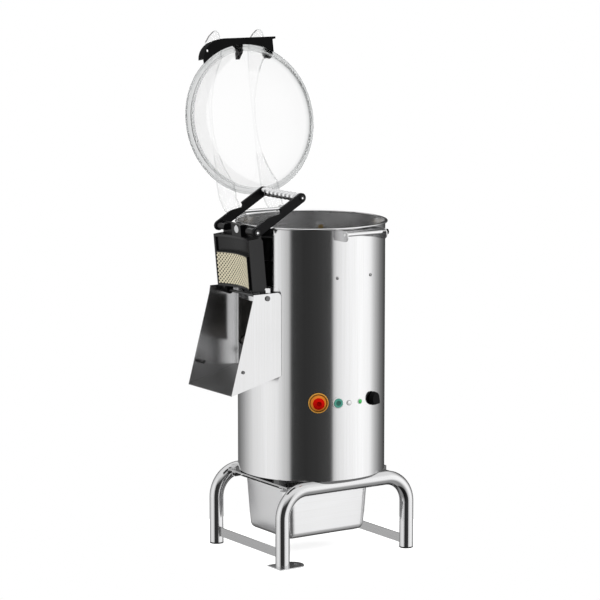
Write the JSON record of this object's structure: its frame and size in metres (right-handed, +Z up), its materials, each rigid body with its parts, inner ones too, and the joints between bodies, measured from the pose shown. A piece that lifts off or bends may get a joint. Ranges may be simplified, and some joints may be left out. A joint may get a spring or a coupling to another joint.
{
  "type": "electric potato peeler",
  "caption": "Free-standing potato peeler: a stainless tub on a bent-tube stand with a clear domed lid, a flip-up discharge door with a clamp handle, a chute and a slide-out drip pan.",
  "frame": {"origin": "point on the floor under the tub's axis, which is also the drive shaft's axis", "axes": "+Z up along the tub's axis, -Y towards the control side, -X towards the discharge chute"},
  "size_m": [0.5469, 0.6811, 1.3938],
  "materials": {
    "frame_steel": "satin polished stainless tube",
    "sheet_steel": "brushed stainless sheet",
    "tub_steel": "vertically reflecting polished stainless",
    "pan_steel": "bead-blasted pale stainless",
    "bright_steel": "polished steel pins, rod and screws",
    "black_casting": "black coated casting, slightly rough",
    "black_plastic": "black moulded plastic",
    "rubber": "black rubber",
    "clear_plastic": "clear polycarbonate",
    "abrasive": "beige abrasive with a diamond texture",
    "disc_grit": "dark abrasive grit",
    "cast_grey": "grey cast iron",
    "motor_paint": "blue-grey motor paint",
    "box_plastic": "light grey plastic",
    "brass": "machined brass",
    "magnet_white": "bright oval insert",
    "estop_yellow": "orange-yellow collar",
    "estop_red": "red mushroom head",
    "button_green": "teal green button",
    "lens_white": "white lamp lens",
    "lens_green": "lit green lamp lens"
  },
  "bodies": {
    "base": {"front_frame_tube": "frame_steel", "rear_frame_tube": "frame_steel", "floor_flange": "frame_steel", "frame_ties": "frame_steel", "low_bars": "frame_steel", "discharge_chute": "sheet_steel", "latch_brackets": "sheet_steel", "hinge_bracket": "sheet_steel", "pan_rails": "sheet_steel", "base_plate": "sheet_steel", "chamber_floor": "sheet_steel", "drain_pipe": "sheet_steel", "frame_spacers": "sheet_steel", "tub_shell": "tub_steel", "rim_ring": "tub_steel", "mount_bolts": "bright_steel", "latch_rod": "bright_steel", "lid_hinge_pin": "bright_steel", "door_hinge_pin": "bright_steel", "latch_pins": "bright_steel", "front_screws": "bright_steel", "shaft_bearings": "bright_steel", "start_bezel": "bright_steel", "lamp_bezels": "bright_steel", "water_inlet": "bright_steel", "timer_body": "black_plastic", "cable_gland": "black_plastic", "rod_cap": "black_plastic", "foot_caps": "rubber", "shaft_seal": "rubber", "drive_belt": "rubber", "wall_liner": "abrasive", "bearing_housing": "cast_grey", "motor_bracket": "cast_grey", "motor_body": "motor_paint", "control_box": "box_plastic", "spray_nozzle": "brass", "estop_collar": "estop_yellow", "white_lens": "lens_white", "green_lens": "lens_green"},
    "disc": {"abrasive_disc": "disc_grit", "drive_shaft": "bright_steel", "driven_pulley": "cast_grey"},
    "motor_rotor": {"motor_shaft": "bright_steel", "motor_pulley": "cast_grey"},
    "door": {"door_casting": "black_casting", "door_pad": "abrasive", "door_gasket": "rubber", "door_magnet": "magnet_white", "arm_pivot_bolts": "black_casting"},
    "handle": {"handle_arms": "black_casting", "handle_grip": "bright_steel"},
    "lid": {"lid_dome": "clear_plastic", "lid_ribs": "clear_plastic", "lid_handle": "black_plastic", "handle_screws": "bright_steel"},
    "pan": {"drip_pan": "pan_steel"},
    "estop": {"estop_button": "estop_red"},
    "start": {"start_button": "button_green"},
    "knob": {"timer_knob": "black_plastic"}
  },
  "joints": [
    {"name": "disc_spin", "type": "hinge", "parent": "base", "child": "disc", "pos_m": [0, 0, 0.46], "axis": [0, 0, 1], "continuous": true},
    {"name": "motor_spin", "type": "hinge", "parent": "base", "child": "motor_rotor", "pos_m": [0.06, 0.11, 0.46], "axis": [0, 0, 1], "continuous": true},
    {"name": "lid_hinge", "type": "hinge", "parent": "base", "child": "lid", "pos_m": [0, 0.2535, 0.9004], "axis": [1, 0, 0], "range_deg": [0, 100.3]},
    {"name": "door_flip", "type": "hinge", "parent": "base", "child": "door", "pos_m": [-0.212, 0, 0.7165], "axis": [0, -1, 0], "range_deg": [0, 174.5]},
    {"name": "handle_fold", "type": "hinge", "parent": "door", "child": "handle", "pos_m": [-0.2365, 0, 0.89166], "axis": [0, 1, 0], "range_deg": [0, 20.9]},
    {"name": "pan_slide", "type": "slide", "parent": "base", "child": "pan", "axis": [-1, 0, 0], "range_m": [0, 0.3]},
    {"name": "estop_press", "type": "slide", "parent": "base", "child": "estop", "axis": [0.4772, 0.8788, 0], "range_m": [0, 0.004], "stiffness_N_per_m": 600},
    {"name": "start_press", "type": "slide", "parent": "base", "child": "start", "axis": [0.2267, 0.974, 0], "range_m": [0, 0.0025], "stiffness_N_per_m": 400},
    {"name": "timer_turn", "type": "hinge", "parent": "base", "child": "knob", "pos_m": [0.07102, -0.18696, 0.4325], "axis": [-0.3551, 0.9348, 0], "range_deg": [0, 300]}
  ],
  "couplings": [
    {"joint": "motor_spin", "follows": "disc_spin", "ratio": 3.1224},
    {"joint": "door_flip", "follows": "lid_hinge", "ratio": 1.7397},
    {"joint": "handle_fold", "follows": "lid_hinge", "ratio": 0.2083}
  ]
}
